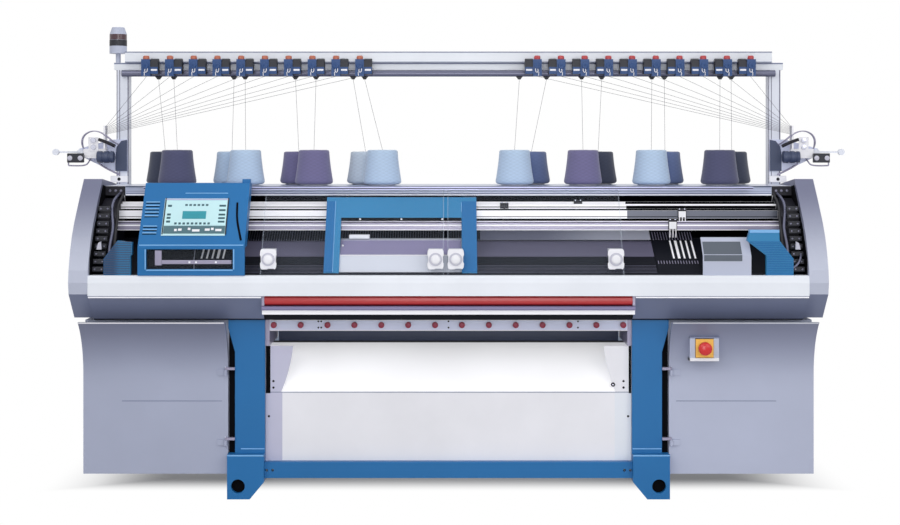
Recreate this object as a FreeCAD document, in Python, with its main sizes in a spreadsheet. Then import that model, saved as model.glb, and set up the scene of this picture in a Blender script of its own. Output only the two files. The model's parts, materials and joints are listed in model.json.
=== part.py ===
import FreeCAD, Part
import os
import re
import Sketcher

# Flat knitting machine, seen along +Y from the front. Millimetres, Z up, floor at Z = 0.

V = FreeCAD.Vector
doc = FreeCAD.newDocument("flat_knitting_machine")
dims = doc.addObject("Spreadsheet::Sheet", "dims")
aliases = []
nodes = []


def size(alias, value, note):
    """One driving dimension: a cell with a name and a note beside it."""
    row = len(aliases) + 1
    dims.set("A%d" % row, str(value))
    dims.setAlias("A%d" % row, alias)
    dims.set("B%d" % row, note)
    aliases.append(alias)


# Frame
size("leg_inner", 849, "centre to the inner face of a leg")
size("leg_wide", 138, "width of a leg")
size("foot_wide", 169, "width of a foot")
size("foot_high", 205, "height of a foot")
size("foot_long", 720, "length of a foot")
size("bore_radius", 32, "transport bore in a foot")
size("bore_side", 968, "centre to the transport bore")
size("bore_high", 60, "floor to the transport bore")
size("leg_top", 822, "floor to the top of a leg")
size("beam_low", 92, "underside of the cross beams")
size("beam_high", 74, "height of the cross beams")
size("cheek_inner", 1636, "centre to the inner face of an end cheek")
size("cheek_wide", 88, "width of an end cheek")
size("cheek_nose", 460, "centre to the front of a cheek")
size("rail_low", 944, "underside of the front rail")
size("rail_top", 1036, "top of the front rail")
size("panel_low", 829, "underside of the lower panels")
size("door_inner", 1020, "centre to the hinge edge of a door")
size("door_outer", 1690, "centre to the outer edge of a door")
size("door_low", 108, "underside of the doors")
size("door_top", 820, "top of the doors")
size("flare_low", 570, "where the flare of a door starts")
size("flare_radius", 335, "radius of the flare")
size("sheet", 3, "sheet metal thickness")
# Knitting zone
size("bed_half", 960, "half length of the needle beds")
size("gap_line", -20, "Y of the gap between the beds")
size("carriage_half", 351, "half width of the carriage")
size("carriage_mid", -220, "rest position of the carriage")
size("upright_wide", 70, "width of a bow upright")
size("bow_top", 1383, "top of the carriage bow")
size("knob_pitch", 124.4, "pitch of the take-down adjusters")
# Upper part
size("table_half", 1537, "half length of the cone table")
size("table_top", 1435, "top of the cone table")
size("post_side", 1590, "centre to a post")
size("post_back", 110, "Y of the posts")
size("post_size", 60, "section of a post")
size("post_top", 1997, "top of a post")
size("cone_pitch", 331, "pitch of the cones")
size("cone_first", 320, "centre to the first cone")
size("cone_base", 93, "radius of a cone at its base")
size("cone_tip", 71, "radius of a cone at its top")
size("cone_high", 172, "height of a cone")
size("unit_pitch", 114.7, "pitch of the yarn control units")
size("unit_first", 429, "centre to the first control unit")
doc.recompute()

WORDS = re.compile(r"\b(" + "|".join(aliases) + r")\b")


def ex(text):
    """An expression with each dimension's name pointed at the sheet."""
    return WORDS.sub(r"dims.\1", str(text))


def val(text):
    """The present value of an expression."""
    if isinstance(text, (int, float)):
        return float(text)
    return float(dims.evalExpression(ex(text)))


def bind(item, prop, text):
    """Binds a property to the sheet, or sets a plain number."""
    if isinstance(text, (int, float)):
        text = "%g" % text
    item.setExpression(prop, ex(text))


def place(item, at, axis=None, angle=0):
    """Placement of a sub-part: a bound position and a fixed turn."""
    turn = FreeCAD.Rotation(V(*axis), angle) if axis else FreeCAD.Rotation()
    item.Placement = FreeCAD.Placement(V(*[val(c) for c in at]), turn)
    for name, c in zip("xyz", at):
        if isinstance(c, str):
            item.setExpression("Placement.Base." + name, ex(c))
    return item


def body(label, at=(0, 0, 0), node=True):
    made = doc.addObject("PartDesign::Body", label)
    made.Label = label
    place(made, at)
    if node:
        nodes.append(made)
    return made


def outline(owner, plane, points, shift=None):
    """A closed sketch on one of the body's planes. A third value bends the side that follows."""
    sketch = owner.newObject("Sketcher::SketchObject", owner.Name + "_outline")
    base = [f for f in owner.Origin.OriginFeatures if f.Role == plane + "_Plane"][0]
    sketch.AttachmentSupport = [(base, "")]
    sketch.MapMode = "FlatFace"
    if shift is not None:
        sketch.AttachmentOffset = FreeCAD.Placement(V(0, 0, val(shift)), FreeCAD.Rotation())
        bind(sketch, "AttachmentOffset.Base.z", shift)
    spots = [V(val(p[0]), val(p[1]), 0) for p in points]
    count = len(points)
    for i in range(count):
        a = spots[i]
        b = spots[(i + 1) % count]
        if len(points[i]) == 2:
            sketch.addGeometry(Part.LineSegment(a, b))
            continue
        reach = abs(val(points[i][2]))
        side = 1 if val(points[i][2]) > 0 else -1
        half = (b - a).Length / 2
        across = V(-(b - a).y, (b - a).x, 0).normalize()
        sag = reach - (reach * reach - half * half) ** 0.5
        crown = (a + b) * 0.5 - across * sag * side
        sketch.addGeometry(Part.Arc(a, crown, b) if side > 0 else Part.Arc(b, crown, a))
    heads = []
    for i in range(count):
        curve = sketch.Geometry[i]
        near = (curve.StartPoint - spots[i]).Length < (curve.EndPoint - spots[i]).Length
        heads.append(1 if near else 2)
    for i in range(count):
        follow = (i + 1) % count
        start = heads[i]
        sketch.addConstraint(Sketcher.Constraint("Coincident", i, 3 - start, follow, heads[follow]))
        for kind, c in (("DistanceX", 0), ("DistanceY", 1)):
            n = sketch.addConstraint(
                Sketcher.Constraint(kind, -1, 1, i, start, val(points[i][c])))
            if isinstance(points[i][c], str):
                sketch.setExpression("Constraints[%d]" % n, ex(points[i][c]))
        if len(points[i]) == 3:
            n = sketch.addConstraint(Sketcher.Constraint("Radius", i, abs(val(points[i][2]))))
            sketch.setExpression("Constraints[%d]" % n, ex("abs(%s)" % points[i][2]))
    return sketch


def rings(owner, plane, circles, shift=None):
    """A sketch of full circles, each (u, v, radius)."""
    sketch = owner.newObject("Sketcher::SketchObject", owner.Name + "_rings")
    base = [f for f in owner.Origin.OriginFeatures if f.Role == plane + "_Plane"][0]
    sketch.AttachmentSupport = [(base, "")]
    sketch.MapMode = "FlatFace"
    if shift is not None:
        sketch.AttachmentOffset = FreeCAD.Placement(V(0, 0, val(shift)), FreeCAD.Rotation())
        bind(sketch, "AttachmentOffset.Base.z", shift)
    for u, v, r in circles:
        i = sketch.addGeometry(Part.Circle(V(val(u), val(v), 0), V(0, 0, 1), val(r)))
        for kind, c in (("DistanceX", u), ("DistanceY", v)):
            n = sketch.addConstraint(Sketcher.Constraint(kind, -1, 1, i, 3, val(c)))
            if isinstance(c, str):
                sketch.setExpression("Constraints[%d]" % n, ex(c))
        n = sketch.addConstraint(Sketcher.Constraint("Radius", i, val(r)))
        sketch.setExpression("Constraints[%d]" % n, ex(r))
    return sketch


def feature(owner, kind, sketch, length, middle=True):
    """A pad or pocket of a sketch, its length bound to the sheet."""
    made = owner.newObject("PartDesign::" + kind, owner.Name + "_" + kind.lower())
    made.Profile = sketch
    made.Midplane = middle
    bind(made, "Length", length)
    sketch.Visibility = False
    return made


def solid(label, plane, points, length, at=(0, 0, 0), node=True, middle=True):
    """A body with one padded outline."""
    made = body(label, at, node)
    feature(made, "Pad", outline(made, plane, points), length, middle)
    return made


def block(name, low, high):
    """A box between two corners, each value bound to the sheet."""
    made = doc.addObject("Part::Box", name)
    for prop, a, b in zip(("Length", "Width", "Height"), low, high):
        bind(made, prop, "(%s) - (%s)" % (b, a))
    return place(made, low)


def rod(name, radius, length, at, axis="z"):
    """A cylinder along x, y or z from one end."""
    made = doc.addObject("Part::Cylinder", name)
    bind(made, "Radius", radius)
    bind(made, "Height", length)
    turn = {"x": ((0, 1, 0), 90), "y": ((1, 0, 0), -90), "z": (None, 0)}[axis]
    return place(made, at, *turn)


def taper(name, low_radius, top_radius, height, at, sides):
    """A frustum with flat sides: what square tapers turned about one axis have in common."""
    tapers = []
    upright = FreeCAD.Rotation(V(1, 0, 0), 90)
    for k in range(sides // 4):
        one = doc.addObject("Part::Wedge", name + "_taper")
        for end, radius in (("", low_radius), ("2", top_radius)):
            for axis in "XZ":
                bind(one, axis + end + "min", "-1 * (%s)" % radius)
                bind(one, axis + end + "max", radius)
        one.Ymin = 0
        bind(one, "Ymax", height)
        place(one, at)
        one.Placement.Rotation = FreeCAD.Rotation(V(0, 0, 1), 360.0 * k / sides) * upright
        tapers.append(one)
    made = doc.addObject("Part::MultiCommon", name)
    made.Shapes = tapers
    return made


def group(label, items):
    """Separate solids that share one node."""
    made = doc.addObject("Part::Compound", label)
    made.Label = label
    made.Links = items
    nodes.append(made)
    return made


def cut(label, base, tools, node=True):
    made = doc.addObject("Part::Cut", label)
    made.Label = label
    made.Base = base
    if len(tools) > 1:
        tool = doc.addObject("Part::Compound", label + "_tools")
        tool.Links = tools
        made.Tool = tool
    else:
        made.Tool = tools[0]
    if node:
        nodes.append(made)
    return made


SIDES = (("left", -1), ("right", 1))

# ---------------------------------------------------------------- frame

feet = []
legs = []
cheeks = []
for side, s in SIDES:
    foot = body("foot_" + side, node=False)
    feet.append(foot)
    shape = [("%d * leg_inner" % s, 78),
             ("%d * leg_inner" % s, "foot_high"),
             ("%d * (leg_inner + foot_wide)" % s, "foot_high"),
             ("%d * (leg_inner + foot_wide)" % s, 0),
             ("%d * (leg_inner + 65)" % s, 0)]
    feature(foot, "Pad", outline(foot, "XZ", shape), "foot_long")
    bore = rings(foot, "XZ", [("%d * bore_side" % s, "bore_high", "bore_radius")])
    feature(foot, "Pocket", bore, "foot_long + 10")

    leg = body("leg_" + side, node=False)
    legs.append(leg)
    shape = [("%d * leg_inner" % s, "foot_high"),
             ("%d * leg_inner" % s, "leg_top"),
             ("%d * (leg_inner + foot_wide)" % s, "leg_top"),
             ("%d * (leg_inner + foot_wide)" % s, "leg_top - 40"),
             ("%d * (leg_inner + leg_wide)" % s, "leg_top - 150"),
             ("%d * (leg_inner + leg_wide)" % s, "foot_high")]
    feature(leg, "Pad", outline(leg, "XZ", shape), 632)

    shape = [(-341, 834), (-450, 951), (-460, 1003), (-452, 1060), (-425, 1140),
             (-389, 1210), (-341, 1275), (-244, 1378), (-153, 1469), (265, 1429),
             (400, 1330), (460, 1180), (460, 834)]
    shape[2] = ("-1 * cheek_nose", 1003)
    cheek = body("cheek_" + side, node=False)
    cheeks.append(cheek)
    middle = "%d * (cheek_inner + cheek_wide / 2)" % s
    feature(cheek, "Pad", outline(cheek, "YZ", shape, middle), "cheek_wide")

group("feet", feet)
group("legs", legs)
group("end_cheeks", cheeks)

beams = []
for end, y in (("front", -330), ("rear", 270)):
    beam = block(end + "_beam_bar", ("-1 * leg_inner", y, "beam_low"),
                 ("leg_inner", y + 60, "beam_low + beam_high"))
    holes = []
    for s in (-1, 1):
        for inset in (9, 37):
            holes.append(rod("%s_beam_hole" % end, 6.5, 80,
                             ("%d * (leg_inner - %d)" % (s, inset), y - 10, "beam_low + 36"), "y"))
    beams.append(cut(end + "_cross_beam", beam, holes, node=False))
group("cross_beams", beams)

# Hollow girders carry the beds; both stand on the legs between the cheeks.
inner = [(-312, 840), (-312, 962), (-382, 962), (-382, 1000), (-88, 1153), (-88, 840)]
outer = [(-330, "leg_top"), (-330, "rail_low"), (-400, "rail_low"), (-400, 1010),
         (-70, 1182), (-70, "leg_top")]
girders = []
for end, flip in (("front", 1), ("rear", -1)):
    girder = body("bed_girder_" + end, node=False)
    girders.append(girder)
    for kind, loop in (("Pad", outer), ("Pocket", inner)):
        points = [(p[0] if flip == 1 else "2 * gap_line + %d" % -p[0], p[1]) for p in loop]
        feature(girder, kind, outline(girder, "YZ", points), "2 * cheek_inner")
group("bed_girders", girders)

shape = [(-400, "rail_low"), ("-1 * cheek_nose", "rail_low"), ("-1 * cheek_nose", 1003),
         (-456, "rail_top - 8"), (-450, "rail_top"), (-400, "rail_top")]
solid("front_rail", "YZ", shape, "2 * cheek_inner")

panels = []
for side, s in SIDES:
    panel = body("lower_panel_" + side, node=False)
    panels.append(panel)
    shape = [(-330, "panel_low"), (-341, "panel_low"), (-450, "rail_low - 4"),
             (-330, "rail_low - 4"), (-330, "rail_low - 4 - sheet"),
             (-444, "rail_low - 4 - sheet"), (-339, "panel_low + sheet"),
             (-330, "panel_low + sheet")]
    middle = "%d * (cheek_inner + leg_inner) / 2" % s
    feature(panel, "Pad", outline(panel, "YZ", shape, middle), "cheek_inner - leg_inner - 1")

group("lower_panels", panels)

# Engaging bar on journals in two brackets, and the ledge below it.
brackets = []
for side, s in SIDES:
    plate = solid("bar_bracket_" + side, "YZ",
                  [(-330, 898), (-440, 898), (-440, "rail_low"), (-330, "rail_low")], 12,
                  ("%d * (leg_inner - 6)" % s, 0, 0), node=False)
    eye = rings(plate, "YZ", [(-425, 921, 8.1)])
    feature(plate, "Pocket", eye, 30)
    brackets.append(plate)
bar = body("engaging_bar")
shape = [(-443, 908, -60), (-443, 934), (-432, 942), (-418, 942), (-407, 934), (-407, 908),
         (-418, 900), (-432, 900)]
feature(bar, "Pad", outline(bar, "YZ", shape), "2 * (leg_inner - 13)")
feature(bar, "Pad", rings(bar, "YZ", [(-425, 921, 8)]), "2 * (leg_inner - 2)")

ledge = solid("ledge_bar", "YZ",
              [(-330, 878), (-446, 878), (-450, 882), (-450, 893), (-446, 896), (-330, 896)],
              "2 * leg_inner - 1", node=False)
lip = solid("ledge_lip", "YZ",
            [(-330, 874), (-330, 878), (-436, 878), (-432, 858), (-428, 858), (-431, 874)],
            "2 * leg_inner - 1", node=False)
group("engaging_ledge", [ledge, lip])

# ---------------------------------------------------------------- knitting zone

for end, flip in (("front", 1), ("rear", -1)):
    loop = [(-400, 1010), (-400, 1040), (-330, 1076.5), (-326, 1074.6), (-312, 1081.9),
            (-308, 1088), (-150, 1170.4), (-146, 1168.4), (-132, 1175.7), (-128, 1181.8),
            (-26, 1235), (-26, 1205)]
    points = [(p[0] if flip == 1 else "2 * gap_line + %d" % -p[0], p[1]) for p in loop]
    solid("needle_bed_" + end, "YZ", points, "2 * bed_half")

guides = [block("guide_front", (-1436, -416, "rail_top"), (1436, -402, "rail_top + 7.5")),
          block("guide_rear", (-1436, 362, 1010), (1436, 376, 1043.5)),
          block("guide_foot", (-1436, 360, 1000), (1436, 376, 1010))]
group("carriage_guides", guides)

ends = [
    solid("cable_guide_right", "XZ",
          [(1372, 1241), (1505, 1241), (1507, 1193), (1570, 1111), (1570, "rail_top"),
           (1447, "rail_top"), (1447, 1125), (1359, 1193)], 28, (0, -416, 0), False),
    solid("cable_guide_left", "XZ",
          [(-1447, "rail_top"), (-1570, "rail_top"), (-1570, 1111), (-1507, 1193),
           (-1440, 1185), (-1440, 1130), (-1447, 1125)], 28, (0, -416, 0), False)]
holders = []
for side, s in SIDES:
    shape = [(-256, 1085.4), (-256, 1296), (-200, 1340), (-110, 1376), (-62, 1376), (-62, 1187)]
    holders.append(solid("rail_holder_" + side, "YZ", shape, 84, ("%d * 1594" % s, 0, 0), False))
group("rail_holders", holders)
group("end_housings", ends)

# Four rails, and one yarn feeder on each; the tips pass one another.
RAILS = ((-215, 1230, 1273), (-175, 1283, 1321), (-135, 1327, 1350), (-100, 1341, 1360))
rails = []
for n, (y, low, high) in enumerate(RAILS):
    rails.append(block("rail_%d" % n, (-1552, y - 4, low), (1552, y + 4, high)))
group("feeder_rails", rails)
for n, x in enumerate((1050, 1100, 264, 616)):
    y, low, high = RAILS[n]
    tip = -40 + 12 * n
    top = (1250, 1280, 1312, 1332)[n]
    start = (1216, 1270, 1304, 1322)[n]
    arm = [(y - 14, start), (y - 14, low + 2), (y - 4.4, low + 2), (y - 4.4, start + 9),
           (tip + 3, top), (tip + 3, 1240), (tip, 1238), (tip - 3, 1240), (tip - 3, top - 9)]
    pieces = [solid("feeder_arm_%d" % n, "YZ", arm, 7, (x, 0, 0), False)]
    pieces.append(block("feeder_plate_%d" % n, (x - 20, y - 14, low + 2), (x + 20, y - 4.4, high + 1)))
    pieces.append(block("feeder_lug_%d" % n, (x - 20, y - 14, high + 1), (x + 20, y + 8, high + 5)))
    group("yarn_feeder_%d" % (n + 1), pieces)

# Carriage: two arches over the rails, a front beam, and a cam box on each bed.
arch = []
for side, s in SIDES:
    x = "carriage_mid + %d * (carriage_half - upright_wide / 2)" % s
    for end, flip in (("front", 1), ("rear", -1)):
        loop = [(-411, 1044), (-402, 1044), (-385, 1053), (-174.1, "bow_top - 17"),
                (-200.1, "bow_top - 17")]
        points = [(p[0] if flip == 1 else "2 * gap_line + %g" % -p[0], p[1]) for p in loop]
        arch.append(solid("upright_%s_%s" % (end, side), "YZ", points, "upright_wide",
                          (x, 0, 0), False))
    arch.append(solid("arch_top_" + side, "YZ",
                      [(-200.1, "bow_top - 17"), (-189, "bow_top"), (149, "bow_top"),
                       (160.1, "bow_top - 17")], "upright_wide", (x, 0, 0), False))
arch.append(solid("bow_beam", "YZ",
                  [(-249.9, 1290), (-189, "bow_top"), (-163, "bow_top"), (-223.9, 1290)],
                  "2 * (carriage_half - upright_wide)", ("carriage_mid", 0, 0), False))
group("carriage_bow", arch)
boxes = []
for end, flip in (("front", 1), ("rear", -1)):
    loop = [(-394, 1047), (-390, 1056), (-348, 1120), (-266, 1188), (-204, 1192), (-204, 1146)]
    points = [(p[0] if flip == 1 else "2 * gap_line + %g" % -p[0], p[1]) for p in loop]
    boxes.append(solid("cam_box_" + end, "YZ", points, "2 * (carriage_half - upright_wide)",
                       ("carriage_mid", 0, 0), False))
boxes.append(block("box_cap", ("carriage_mid - 242", -262, 1192.2),
                   ("carriage_mid - 150", -214, 1210)))
group("carriage_boxes", boxes)

guards = []
for side, s, points in (
        ("left", -1, [(-431, "rail_top"), (-431, 1110), (-395, 1152), (-388, 1150),
                      (-424, 1107), (-424, "rail_top")]),
        ("right", 1, [(-431, "rail_top"), (-431, 1125), (-358, 1205), (-352, 1201),
                      (-424, 1122), (-424, "rail_top")])):
    guards.append(solid("guard_" + side, "YZ", points, 220, (s * 1268, 0, 0), False))
group("bed_guards", guards)

# Sliding covers between a track on the cone table and the front rail.
solid("cover_track", "YZ", [(-190, 1419), (-190, 1432), (-110, 1432), (-110, 1419)], 2872)
for side, x, wide in (("left", -440, 838), ("right", 398, 806)):
    pane = [(-428.6, "rail_top + 0.5"), (-179.3, 1418.5), (-174.3, 1418.5),
            (-423.6, "rail_top + 0.5")]
    solid("cover_" + side, "YZ", pane, wide, (x, 0, 0))
    latches = []
    for k, s in enumerate((-1, 1)):
        spot = x + s * (wide / 2 - 38)
        back = [(-428, 1062), (-428, 1156), (-350.7, 1156), (-412, 1062)]
        latches.append(solid("latch_%s_%d" % (side, k), "YZ", back, 72, (spot, 0, 0), False))
        latches.append(rod("latch_knob_%s_%d" % (side, k), 24, 5, (spot, -433, 1108), "y"))
    group("latches_" + side, latches)

# Control panel that slides along the front rail.
hood = body("panel_hood", (-1167.5, 0, 0))
shape = [(-456, "rail_top + 0.4"), (-456, 1165), (-262, 1452), (-192, 1452), (-192, 1436),
         (-366, 1168), (-437, 1162), (-437, "rail_top + 0.4")]
feature(hood, "Pad", outline(hood, "YZ", shape), 485)
window = outline(hood, "XZ", [(-203.5, 1065), (189.5, 1065), (189.5, 1156), (-203.5, 1156)], 446)
feature(hood, "Pocket", window, 60)
ear = outline(hood, "XZ", [(205, 1440), (205, 1470), (242, 1470), (242, 1440)], 230)
feature(hood, "Pad", ear, 30)
solid("hood_window", "XZ", [(-203.5, 1065), (189.5, 1065), (189.5, 1156), (-203.5, 1156)], 4,
      (-1167.5, -447, 0))
solid("panel_screen", "YZ", [(-422.4, 1215.1), (-310.9, 1380.1), (-313.4, 1381.8), (-424.9, 1216.8)],
      291, (-1164.5, 0, 0))

# ---------------------------------------------------------------- lower front

CURVE = "-310 - flare_radius + sqrt(flare_radius^2 - (%s - flare_low)^2)"
for side, s in SIDES:
    door = body("door_" + side, ("%d * (door_inner + door_outer) / 2" % s, 0, 0))
    top = CURVE % "door_top"
    shape = [(-290, "door_low"), (-310, "door_low"), (-310, "flare_low", "flare_radius"),
             (top, "door_top"), (top + " + 20", "door_top", "-flare_radius"),
             (-290, "flare_low")]
    feature(door, "Pad", outline(door, "YZ", shape), "door_outer - door_inner")
    for z in (253, 577):
        leaf = outline(door, "XY", [(s * -325, -310), (s * -285, -310), (s * -285, -316),
                                    (s * -325, -318)], z)
        feature(door, "Pad", leaf, 26)
        feature(door, "Pad", rings(door, "XY", [(s * -325, -322, 8.5)], z), 26)

hinges = []
for side, s in SIDES:
    for z in (266.4, 590.4):
        ear = body("hinge_%s_%d" % (side, z), (0, 0, z), False)
        shape = [(s * 987, -331), (s * 1022, -331), (s * 1031, -326), (s * 1031, -318),
                 (s * 1022, -313), (s * 987, -313)]
        feature(ear, "Pad", outline(ear, "XY", shape), 12, False)
        hinges.append(ear)

back = [(CURVE % 655 + " - 0.1", 655, "flare_radius"), (CURVE % 739 + " - 0.1", 739),
        (-380, 739), (-380, 655)]
box = solid("estop_box", "YZ", back, 81, (1174, 0, 0))
feature(box, "Pocket", rings(box, "XZ", [(0, 697, 12.1)], 380), 12, False)
button = body("estop_button", (1174, -386, 697))
feature(button, "Pad", rings(button, "XZ", [(0, 0, 30)]), 18, False)
feature(button, "Pad", rings(button, "XZ", [(0, 0, 12)], -9), 9.4, False)

cabinets = []
for side, s in SIDES:
    cabinet = body("cabinet_" + side, ("%d * 1352" % s, 0, 0), False)
    feature(cabinet, "Pad", outline(cabinet, "YZ", [(-288, 112), (-288, 818), (330, 818),
                                                    (330, 112)]), 668)
    room = outline(cabinet, "YZ", [(-289, 130), (-289, 800), (312, 800), (312, 130)])
    feature(cabinet, "Pocket", room, 630)
    cabinets.append(cabinet)
group("cabinets", cabinets)

strip = block("takedown_strip", ("20 - leg_inner", -300, 768), ("leg_inner - 20", -270, 820))
strip.Label = "takedown_strip"
nodes.append(strip)
knobs = []
for n in range(14):
    x = "(%g) * knob_pitch" % (n - 6.5)
    knob = doc.addObject("Part::Prism", "adjuster_%d" % n)
    knob.Polygon = 16
    knob.Circumradius = 14
    knob.Height = 18
    knobs.append(place(knob, (x, -300, 796), (1, 0, 0), 90))
group("takedown_adjusters", knobs)
for side, s in SIDES:
    x = "leg_inner - 20" if s > 0 else "-1 * leg_inner"
    plate = block("takedown_plate_" + side, (x, -300, 699), (x + " + 20", 60, 822))
    bores = [rod("roller_bore_" + side, 10.1, 60, (x + " - 10", -50.5, 775), "x"),
             rod("press_bore_" + side, 10.1, 60, (x + " - 10", 0.5, 775), "x")]
    brackets.append(cut("takedown_end_" + side, plate, bores, node=False))
group("small_brackets", brackets + hinges)
for label, r, y in (("takedown_roller", 30, -50.5), ("pressing_roller", 20, 0.5)):
    roller = body(label, (0, y, 775))
    feature(roller, "Pad", rings(roller, "YZ", [(0, 0, r)]), "2 * (leg_inner - 22)")
    feature(roller, "Pad", rings(roller, "YZ", [(0, 0, 10)]), "2 * (leg_inner - 6)")

solid("fabric_chute", "YZ", [(-287.6, 484, -420), (-95, 698), (-91, 697, 420), (-283.6, 483)],
      "2 * leg_inner - 1")
low_face = [block("front_sheet", ("0.5 - leg_inner", -292, "beam_low + beam_high"),
                  ("leg_inner - 0.5", -288, 483))]
for side, s in SIDES:
    shape = [(s * 848.5, 483), (s * 848.5, 698), (s * 720, 698, s * 700), (s * 776, 483)]
    low_face.append(solid("chute_side_" + side, "XZ", shape, 4, (0, -290, 0), False))
group("front_panel", low_face)

solid("rear_cover", "YZ", [(290, 900), (290, 903), (437, 903), (437, 1180), (380, 1318),
                           (383, 1320), (440, 1181), (440, 900)], "2 * cheek_inner")

# ---------------------------------------------------------------- upper part

solid("cone_table", "YZ", [(-110, 1389), (-110, "table_top"), (330, "table_top"), (330, 1389),
                           (326, 1389), (326, "table_top - 4"), (-106, "table_top - 4"),
                           (-106, 1389)], "2 * table_half")
columns = []
for side, s in SIDES:
    x = "table_half" if s > 0 else "-1 * cheek_inner"
    columns.append(block("table_bracket_" + side, (x, -100, 1395),
                         (x + " + cheek_inner - table_half", 320, "table_top")))
    columns.append(block("post_" + side, ("%d * post_side - post_size / 2" % s,
                                          "post_back - post_size / 2", "table_top"),
                         ("%d * post_side + post_size / 2" % s,
                          "post_back + post_size / 2", "post_top")))
group("posts", columns)
group("top_bar", [block("top_rail", (-1632, 80, "post_top"), (1632, 140, "post_top + 35")),
                  block("top_plate", (-1575, 60, "post_top + 35"), (1575, 160, "post_top + 88"))])
tube = rod("top_tube", 16, 3180, (-1590, 63.6, "post_top - 18"), "x")
tube.Label = "top_tube"
nodes.append(tube)
units = []
drums = []
caps = []
for side, s in SIDES:
    for n in range(10):
        x = "%d * (unit_first + %d * unit_pitch)" % (s, n)
        tag = "%s_%d" % (side, n)
        units.append(block("unit_" + tag, (x + " - 21", -10, 1963), (x + " + 21", 47, 2044)))
        units.append(block("neck_" + tag, (x + " - 21", 47, 2000), (x + " + 21", 80, 2030)))
        inner = "(%s) - %d * 40" % (x, s)
        drums.append(block("drum_" + tag, (inner + " - 19", -4, 1972), (inner + " + 19", 44, 2036)))
        caps.append(taper("cap_" + tag, 15, 12, 17, (x, 12, 2044), 12))

# Cones in two rows, each with its yarn up to a guide under the tube.
FRONT = "dark light violet light light violet light dark".split()
REAR = "dark light violet dark dark dark dark dark".split()
TOPS = (-1411, -1337, -1044, -990, -745, -645, -464, -408,
        345, 477, 648, 746, 990, 1051, 1322, 1376)
cones = {"dark": [], "light": [], "violet": []}
yarns = []


def strand(name, start, end, radius=0.7):
    """A taut yarn between two points."""
    line = V(*end) - V(*start)
    made = doc.addObject("Part::Prism", name)
    made.Polygon = 6
    made.Circumradius = radius
    made.Height = line.Length
    made.Placement = FreeCAD.Placement(V(*start), FreeCAD.Rotation(V(0, 0, 1), line))
    return made


for n in range(16):
    pair = n // 2
    s = -1 if n < 8 else 1
    step = 3 - pair if n < 8 else pair - 4
    rear = (n % 2 == 0) if n < 8 else (n % 2 == 1)
    x = "%d * (cone_first + %d * cone_pitch + %d)" % (s, step, 91 if rear else 0)
    y, drop = (200, 8) if rear else (20, 0)
    kind = (REAR if rear else FRONT)[pair]
    cones[kind].append(taper("cone_%d" % n, "cone_base", "cone_tip", "cone_high - %d" % drop,
                             (x, y, "table_top"), 24))
    drums.append(block("guide_%d" % n, (TOPS[n] - 8, 56, 1950), (TOPS[n] + 8, 70, 1963)))
    yarns.append(strand("yarn_%d" % n, (val(x), y, val("table_top + cone_high") - drop + 0.4),
                        (TOPS[n], 63, 1949.4)))
for kind, made in cones.items():
    group("cones_" + kind, made)
for side, s in SIDES:
    for n in range(10):
        x = val("%d * (unit_first + %d * unit_pitch)" % (s, n))
        yarns.append(strand("slant_%s_%d" % (side, n), (x, 18, 1962.4),
                            (s * 1659.2, 18, 1682 + 4 * n)))
group("control_units", units)
group("unit_drums", drums)
group("unit_caps", caps)
group("yarns", yarns)

group("beacon_body", [rod("beacon_neck", 12, 46, (-1618, 110, "post_top + 35")),
                      rod("beacon_base", 42, 67, (-1618, 110, 2078)),
                      taper("beacon_dome", 42, 30, 34, (-1618, 110, 2172), 32)])
lens = rod("beacon_lens", 42, 27, (-1618, 110, 2145))
lens.Label = "beacon_lens"
nodes.append(lens)

plates = []
houses = []
for side, s in SIDES:
    shape = [(s * 1565, 1503), (s * 1565, 1657), (s * 1640, 1657), (s * 1800, 1612),
             (s * 1800, 1580), (s * 1640, 1503)]
    plates.append(solid("gusset_" + side, "XZ", shape, 12, (0, 74, 0), False))
    low = 1660 if s > 0 else -1770
    houses.append(block("house_" + side, (low, 28, 1566), (low + 110, 68, 1612)))
    low = 1660 if s > 0 else -1668
    houses.append(block("eye_" + side, (low, 8, 1612), (low + 8, 60, 1724)))
    arm = body("tension_arm_" + side, (s * 1786, 0, 1596))
    feature(arm, "Pad", rings(arm, "XZ", [(0, 0, 14)], -67.6), 40, False)
    feature(arm, "Pad", outline(arm, "XZ", [(0, -4), (s * 128, -4), (s * 128, 4), (0, 4)], -46),
            6, False)
    feature(arm, "Pad", rings(arm, "XZ", [(s * 118, 0, 15)], -46), 24, False)
group("tensioner_brackets", plates)
group("tensioner_houses", houses)

doc.recompute()
os.makedirs("parts", exist_ok=True)
for item in doc.Objects:
    if "Invalid" in item.State or "Error" in item.State:
        raise RuntimeError("not built: " + item.Label)
for item in nodes:
    if item.Shape.isNull() or not item.Shape.isValid():
        raise RuntimeError("bad shape: " + item.Label)
for item in nodes:
    item.Shape.exportStep(os.path.join("parts", item.Label + ".step"))
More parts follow.
